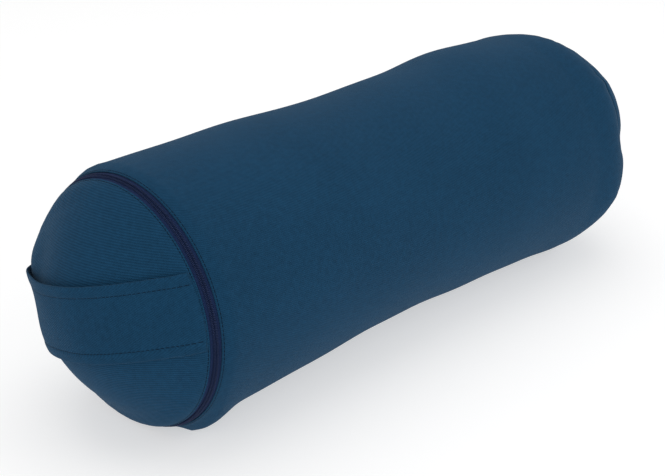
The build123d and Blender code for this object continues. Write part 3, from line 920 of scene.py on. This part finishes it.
def strap_top(across):
    """The strap's thickness across it: hems folded in along both edges, and held down by a row."""
    edge = STRAP_HALF - np.abs(across - STRAP_RISE)
    groove = -STRAP_GROOVE * np.exp(-(((edge - STRAP_STITCH) / STRAP_GROOVE_WIDE) ** 2))
    hem = STRAP_HEM_HIGH * (1 - smooth_steps(edge, STRAP_STITCH, STRAP_STITCH + STRAP_HEM_FADE))
    crown = STRAP_CROWN * np.sin(pi * np.clip(edge / STRAP_STITCH, 0, 1))
    return STRAP_THICK - STRAP_CROWN + groove + hem + crown


def make_strap():
    """The strap's section runs over its outer side, round one edge, back inside, and round the other."""
    edge = STRAP_THICK / 2
    low, high = STRAP_RISE - STRAP_HALF + edge, STRAP_RISE + STRAP_HALF - edge
    across_out, across_in = np.linspace(low, high, 90), np.linspace(high, low, 24)
    turn = np.linspace(0, pi, 9)[1:-1]
    half_low, half_high = strap_top(np.array((low - edge, high + edge))) / 2
    across_edges = (high + edge * np.sin(turn), low - edge * np.sin(turn))
    lift_edges = (half_high * (1 + np.cos(turn)), half_low * (1 - np.cos(turn)))
    across = np.concatenate((across_out, across_edges[0], across_in, across_edges[1]))
    lift = np.concatenate((strap_top(across_out), lift_edges[0], 0 * across_in, lift_edges[1]))
    reach = np.sqrt(STRAP_TIP_RADIUS**2 - across**2)
    share = np.linspace(-1, 1, 121)
    along = reach[:, None] * share[None, :]
    spread = across[:, None] + 0 * along
    grid = strap_place(along, spread, lift[:, None] + 0 * along)
    weave = np.stack((along, spread + 4 * lift[:, None]), axis=2)
    return grid_object("carry_strap", settle(grid), weave, closed_rows=True)


piece(make_strap(), TWILL_STRAP, "carry_handle")


def strap_row_path(across):
    reach = STRAP_TIP_RADIUS * 0.996
    half = (reach**2 - across**2) ** 0.5

    def path(t):
        along = half * (2 * t - 1)
        level = np.full_like(along, across)
        top = strap_top(level) + 0.00005
        points = strap_place(along, level, top)
        outward = points - strap_place(along, level, top - MM)
        slope = unit(strap_place(along + MM, level, top) - strap_place(along - MM, level, top))
        return points, square_to(slope, outward)

    return path


for name, side in (("upper", 1), ("lower", -1)):
    across = STRAP_RISE + side * (STRAP_HALF - STRAP_STITCH)
    row = stitch_row("strap_stitches_" + name, strap_row_path(across), 2.2 * STRAP_END_RADIUS)
    piece(row, THREAD, "handle_stitching_" + name)


# ---------------------------------------------------------------- zips


@dataclass
class Track:
    """A zip's line, an arc about an axis. Its band may lean towards the axis's own direction."""

    centre: tuple
    axis: tuple
    radial: tuple  # from the axis towards the place at angle 0
    radius: float
    tilt: float

    def place(self, angle, across, out):
        """Points at angles in degrees, across the band and out of it."""
        axis, first = np.array(self.axis, float), np.array(self.radial, float)
        psi, lean = np.radians(angle)[..., None], radians(self.tilt)
        radial = np.cos(psi) * first + np.sin(psi) * np.cross(axis, first)
        outward = radial * cos(lean) - axis * sin(lean)
        sideways = axis * cos(lean) + radial * sin(lean)
        centre = np.array(self.centre) + radial * self.radius
        return centre + np.asarray(across)[..., None] * sideways + np.asarray(out)[..., None] * outward


def rounded_box(low, high, bottom, top, corner, steps=3):
    """The points round a rectangle with rounded corners, as (across, out)."""
    points = []
    for number, (x, y) in enumerate(((high, top), (low, top), (low, bottom), (high, bottom))):
        middle = (x - corner if x == high else x + corner, y - corner if y == top else y + corner)
        for step in range(steps + 1):
            turn = (number + step / steps) * pi / 2
            points.append((middle[0] + corner * cos(turn), middle[1] + corner * sin(turn)))
    return np.array(points)


def ribbon(name, track, angles, section, taper=0.0):
    """A strip along a zip with that section. With taper its two ends are rounded."""
    section = np.asarray(section)
    middle = section.mean(axis=0)
    scale = np.ones(len(angles))
    if taper:
        scale[[0, -1]], scale[[1, -2]] = 1 - taper, 1 - taper / 4
    spread = middle + (section - middle)[:, None, :] * scale[None, :, None]
    grid = track.place(np.asarray(angles)[None, :] + 0 * spread[..., 0], spread[..., 0], spread[..., 1])
    length = np.radians(angles)[None, :] * track.radius + 0 * spread[..., 0]
    return grid_object(name, grid, np.stack((spread[..., 0], length), axis=2), closed_rows=True)


def tape_section(side, half):
    """A woven tape: a thin strip with two raised cords and a thicker selvedge."""
    across = np.concatenate((np.linspace(TAPE_MEET, half, 26), np.linspace(half, TAPE_MEET, 8)))
    top = TAPE / 2 - CORD_HIGH + CORD_HIGH * smooth_steps(across, half - SELVEDGE, half)
    for place in CORD_PLACES:
        top += CORD_HIGH * np.exp(-(((across - place) / CORD_WIDE) ** 2))
    out = np.where(np.arange(len(across)) < 26, top, -TAPE / 2)
    return np.stack((side * across, out), axis=1)


def coil(name, track, start, end, side, pitch=0.00135, wire=0.00027, steps=10):
    """Half of a zip's teeth: one nylon wire wound in flattened turns, sewn along its tape."""
    turns = int(radians(end - start) * track.radius / pitch)
    phase = np.arange(turns * steps + 1) * 2 * pi / steps
    shift = 0.25 if side > 0 else 0.75
    angle = start + np.degrees((phase / (2 * pi) + shift - 0.5) * pitch / track.radius)
    angle = np.clip(angle, start, end)
    middle, half_wide = (COIL_OUT + 0.0002) / 2, (COIL_OUT - 0.0002) / 2 - wire
    base, half_high = (TAPE / 2 + COIL_TOP) / 2, (COIL_TOP - TAPE / 2) / 2 - wire
    swing, lift = np.cos(phase), np.sin(phase)
    across = side * (middle - half_wide * np.sign(swing) * np.abs(swing) ** 0.8)
    out = base + half_high * np.sign(lift) * np.abs(lift) ** 0.7
    points = track.place(angle, across, out)
    tangent = unit(np.gradient(points, axis=0))
    forward = track.place(angle + 0.1, 0 * across, 0 * out) - track.place(angle, 0 * across, 0 * out)
    first = square_to(tangent, forward)
    second = np.cross(tangent, first)
    ring = [points + wire * (cos(a) * first + sin(a) * second) for a in np.arange(6) * pi / 3]
    grid = np.stack(ring, axis=0)
    weave = np.stack(np.meshgrid(np.arange(6) * wire, phase * pitch, indexing="ij"), axis=2)
    return grid_object(name, grid, weave, closed_rows=True)


def make_zip(prefix, track, start, end, half, sides, looks, slots, step):
    """Two tapes, their coils and the stops. looks are the tapes' and then the coils'; slots is not used."""
    tail = np.arange(start - TAPE_TAIL, end + TAPE_TAIL + step / 2, step)
    for side, name in ((1, sides[0]), (-1, sides[1])):
        tape = ribbon(f"{prefix}_cloth_{name}", track, tail, tape_section(side, half))
        piece(tape, looks[0], f"{prefix}_tape_{name}")
        wound = coil(f"{prefix}_turns_{name}", track, start, end, side)
        piece(wound, looks[1], f"{prefix}_coil_{name}")
    for name, low, blocks in (
        ("top", start - STOP_ANGLE, ((COIL_IN, COIL_OUT), (-COIL_OUT, -COIL_IN))),
        ("bottom", end + STOP_GAP, ((-COIL_OUT, COIL_OUT),)),
    ):
        angles = low + (STOP_ANGLE - STOP_GAP) * np.array((0, 0.08, 0.3, 0.7, 0.92, 1))
        made = []
        for across in blocks:
            section = rounded_box(*across, TAPE / 2, STOP_TOP, 0.0004)
            made.append(ribbon(f"{prefix}_stop_{name}", track, angles, section, 0.3))
        for extra in made[1:]:
            with bpy.context.temp_override(active_object=made[0], selected_editable_objects=[made[0], extra]):
                bpy.ops.object.join()
        node = f"{prefix}_top_stops" if name == "top" else f"{prefix}_bottom_stop"
        piece(made[0], looks[1], node)


RING = Track((NEAR_SEAM_X, 0, AXIS_HEIGHT), (1, 0, 0), (0, 0, 1), ZIP_RADIUS, ZIP_TILT)
ZIP_SLOTS = ("zip_tape", "zip_plastic")
ZIP_LOOKS = (TAPE_CLOTH, COIL_NYLON)
ZIP_SIDES = ("body_side", "end_side")
make_zip("zip", RING, ZIP_START, ZIP_END, TAPE_HALF, ZIP_SIDES, ZIP_LOOKS, ZIP_SLOTS, 0.75)

tab_low, tab_high = ZIP_END + TAPE_TAIL + TAB_GAP, 360 + ZIP_START - TAPE_TAIL - TAB_GAP
tab_section = rounded_box(-TAB_HALF, TAB_HALF, TAPE / 2 - TWILL, TAPE / 2, 0.0004)
tab = ribbon("zip_tab", RING, np.arange(tab_low, tab_high, 1.0), tab_section, 0.1)
piece(tab, TWILL_BODY, "zip_end_tab")

BAG_ARC = Track((BALL_CENTRE_X, 0, AXIS_HEIGHT), (0, 0, -1), (-1, 0, 0), BAG_ZIP_RADIUS, 0)
BAG_SLOTS = ("bag_zip_tape", "bag_zip_plastic")
BAG_LOOKS = (BAG_TAPE, BAG_NYLON)
BAG_SIDES = ("lower", "upper")
BAG_ENDS = (-BAG_ZIP_HALF, BAG_ZIP_HALF)
make_zip("inner_zip", BAG_ARC, *BAG_ENDS, BAG_TAPE_HALF, BAG_SIDES, BAG_LOOKS, BAG_SLOTS, 1.0)

for node, material in (
    ("zip_slider", ENAMEL), ("zip_pull", ENAMEL),
    ("inner_zip_slider", BAG_ENAMEL), ("inner_zip_pull", BAG_ENAMEL),
):
    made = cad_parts[node]
    wear(made, material)
    bevel = made.modifiers.new("soft_edges", "BEVEL")
    bevel.width, bevel.segments, bevel.limit_method = 0.00012, 2, "ANGLE"


# ---------------------------------------------------------------- inner bag, filling and label


def ball_x(radius, ball, rim):
    """The near disc of the bag: part of a ball, then straight to its rim, which is (x, radius)."""
    turn_x = BALL_CENTRE_X - (ball**2 - BAG_DISC_TURN**2) ** 0.5
    share = (radius - BAG_DISC_TURN) / (rim[1] - BAG_DISC_TURN)
    on_ball = BALL_CENTRE_X - np.sqrt(ball**2 - np.minimum(radius, BAG_DISC_TURN) ** 2)
    return np.where(radius < BAG_DISC_TURN, on_ball, turn_x + share * (rim[0] - turn_x))


def bag_rim(inset):
    turn = radians(BAG_RIM[2])
    return (BAG_RIM[0] + inset * sin(turn) - 0.0002, BAG_RIM[1] - inset * cos(turn))


def half_disc(name, side):
    """Half of the bag's near disc, above or below its zip."""
    layers = []
    for depth in (BAG_CLOTH, 0):
        rim = bag_rim(BAG_INSET + BAG_CLOTH - depth)
        across = rim[1] * np.sin(np.linspace(-0.497 * pi, 0.497 * pi, 90))
        slot = 1 - smooth_steps(np.abs(across), BAG_SLOT_HALF - 0.002, BAG_SLOT_HALF + 0.002)
        low = 0.0001 + (BAND_HALF - 0.0001) * slot
        high = np.maximum(np.sqrt(rim[1] ** 2 - across**2), low + 0.0003)
        up = low + (high - low) * np.linspace(0, 1, 30)[:, None]
        spread = across + 0 * up
        radius = np.hypot(spread, up)
        x = ball_x(radius, BAG_ZIP_RADIUS + BAG_DISC_INSIDE + depth, rim)
        layers.append(np.stack((x, spread, AXIS_HEIGHT + side * up), axis=2))
    grid = np.concatenate((layers[0], layers[1][::-1]))
    return grid_object(name, grid, grid[..., 1:], closed_rows=True)


def filling():
    """The hulls as one mass, dimpled where the hulls lie."""
    rim = bag_rim(FILL_INSET)
    radius = np.linspace(MM, rim[1], 30)
    near = np.stack((ball_x(radius, BAG_ZIP_RADIUS - FILL_UNDER_ZIP, rim), radius), axis=1)
    middle, _ = outline(bag_body(), FILL_INSET + 0.0008, 0.005)
    far, _ = outline(far_dome(), FILL_INSET + 0.0008, 0.005)
    grid = lathe(np.concatenate((near, middle[1:], far[1:])), FULL_TURN[::2])
    grid = settle(grid)
    grid += CHANCE.normal(0, 0.00022, grid.shape)
    return grid_object("hulls", grid, surface_weave(grid, True), closed_columns=True)


def label():
    """A small blank label, a little curled."""
    track = Track((LABEL_X, 0, AXIS_HEIGHT), (1, 0, 0), (0, 0, 1), LABEL_RADIUS, LABEL_TILT)
    places = track.place(LABEL_ANGLE + np.array((0, 0.1, 0, 0)), (0, 0, MM, 0), (0, 0, 0, MM))
    middle = places[0]
    forward, sideways, outward = unit(places[1:] - middle)
    u, v = np.meshgrid(np.linspace(-0.5, 0.5, 13), np.linspace(-0.5, 0.5, 21), indexing="ij")
    curl = LABEL_CURL * (2 * v) ** 4
    face = middle + u[..., None] * LABEL_WIDE * forward + v[..., None] * LABEL_LONG * sideways
    top = face + (LABEL_THICK - curl)[..., None] * outward
    bottom = face - curl[..., None] * outward
    grid = np.concatenate((top, bottom[::-1]))
    weave = np.concatenate((np.stack((u * LABEL_WIDE, v * LABEL_LONG), axis=2),) * 2)
    return grid_object("label", grid, weave, closed_rows=True)


bag_tube = tube_piece("bag_tube", bag_body(), BAG_INSET, BAG_CLOTH, 0.005, FULL_TURN[::2])
piece(bag_tube, BAG_COTTON, "inner_bag_tube")
for name, side in (("upper", 1), ("lower", -1)):
    disc = half_disc("bag_near_disc_" + name, side)
    piece(disc, BAG_COTTON, "inner_bag_near_disc_" + name)
far_disc = end_piece("bag_far_disc", far_dome(), BAG_INSET, BAG_CLOTH, 0.005)
piece(far_disc, BAG_COTTON, "inner_bag_far_disc")
hulls = filling()
piece(hulls, HULLS, "hull_filling")
piece(label(), SATIN, "care_label")


# ---------------------------------------------------------------- floor, light and camera


def make_floor():
    mesh = bpy.data.meshes.new("floor")
    reach = 9.0
    corners = [(-reach, -reach, 0), (reach, -reach, 0), (reach, reach, 0), (-reach, reach, 0)]
    mesh.from_pydata(corners, [], [(0, 1, 2, 3)])
    floor = linked("floor", mesh)
    m = Nodes("floor_paper", (0.6, 0.6, 0.6, 1), 0.9, Specular_IOR_Level=0.1)
    m.set(m.shader, Emission_Color=(1, 1, 1, 1), Emission_Strength=0.53)
    wear(floor, m.material)


def make_light(name, place, aim, size, power, tint=(1, 1, 1)):
    data = bpy.data.lights.new(name, "AREA")
    data.shape = "DISK"
    data.size, data.energy, data.color = size, power, tint
    light = linked(name, data)
    light.location = place
    light.rotation_euler = (Vector(aim) - Vector(place)).to_track_quat("-Z", "Y").to_euler()


def make_camera():
    azimuth, elevation, distance = radians(-46), radians(24.4), 1.304
    target = Vector((-0.0205, 0.0075, 0.085))
    level = cos(elevation)
    back = Vector((sin(azimuth) * level, -cos(azimuth) * level, sin(elevation)))
    data = bpy.data.cameras.new("camera")
    data.lens, data.sensor_width = 75.8, 36
    camera = linked("camera", data)
    camera.location = target + distance * back
    camera.rotation_euler = (-back).to_track_quat("-Z", "Y").to_euler()
    bpy.context.scene.camera = camera


make_floor()
make_light("overhead", (0.1, 0.3, 2.2), (0, 0, 0.1), 2.6, 17)
make_light("front", (-1.9, -1.0, 1.5), (-0.1, 0, 0.1), 1.4, 6.5)
make_light("side", (1.4, -1.6, 1.2), (0.1, 0, 0.1), 1.6, 8.0)
world = bpy.data.worlds.new("studio")
world.use_nodes = True
sky = world.node_tree.nodes["Background"].inputs
sky["Color"].default_value, sky["Strength"].default_value = (1, 1, 1, 1), 0.5
bpy.context.scene.world = world
bpy.context.scene.view_settings.view_transform = "Standard"
make_camera()
